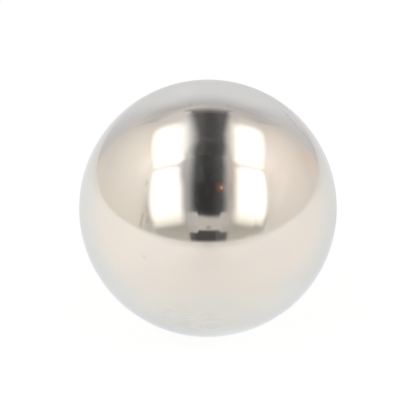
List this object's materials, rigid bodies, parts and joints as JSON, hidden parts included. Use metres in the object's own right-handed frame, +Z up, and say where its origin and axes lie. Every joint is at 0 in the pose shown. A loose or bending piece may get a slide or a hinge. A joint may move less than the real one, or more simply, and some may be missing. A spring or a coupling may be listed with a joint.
{
  "type": "sphere magnet",
  "caption": "Mirror-bright nickel-plated ball magnet that clings by either pole to steel or to another magnet.",
  "frame": {"origin": "centre of the ball", "axes": "+Z up, along the magnetic axis through both poles; +X and +Y are free, because the ball looks the same from every side"},
  "size_m": [0.019, 0.019, 0.019],
  "materials": {
    "nickel_plate": "bright nickel plate, polished to a mirror"
  },
  "bodies": {
    "root": {"magnet_ball": "nickel_plate"}
  },
  "joints": []
}
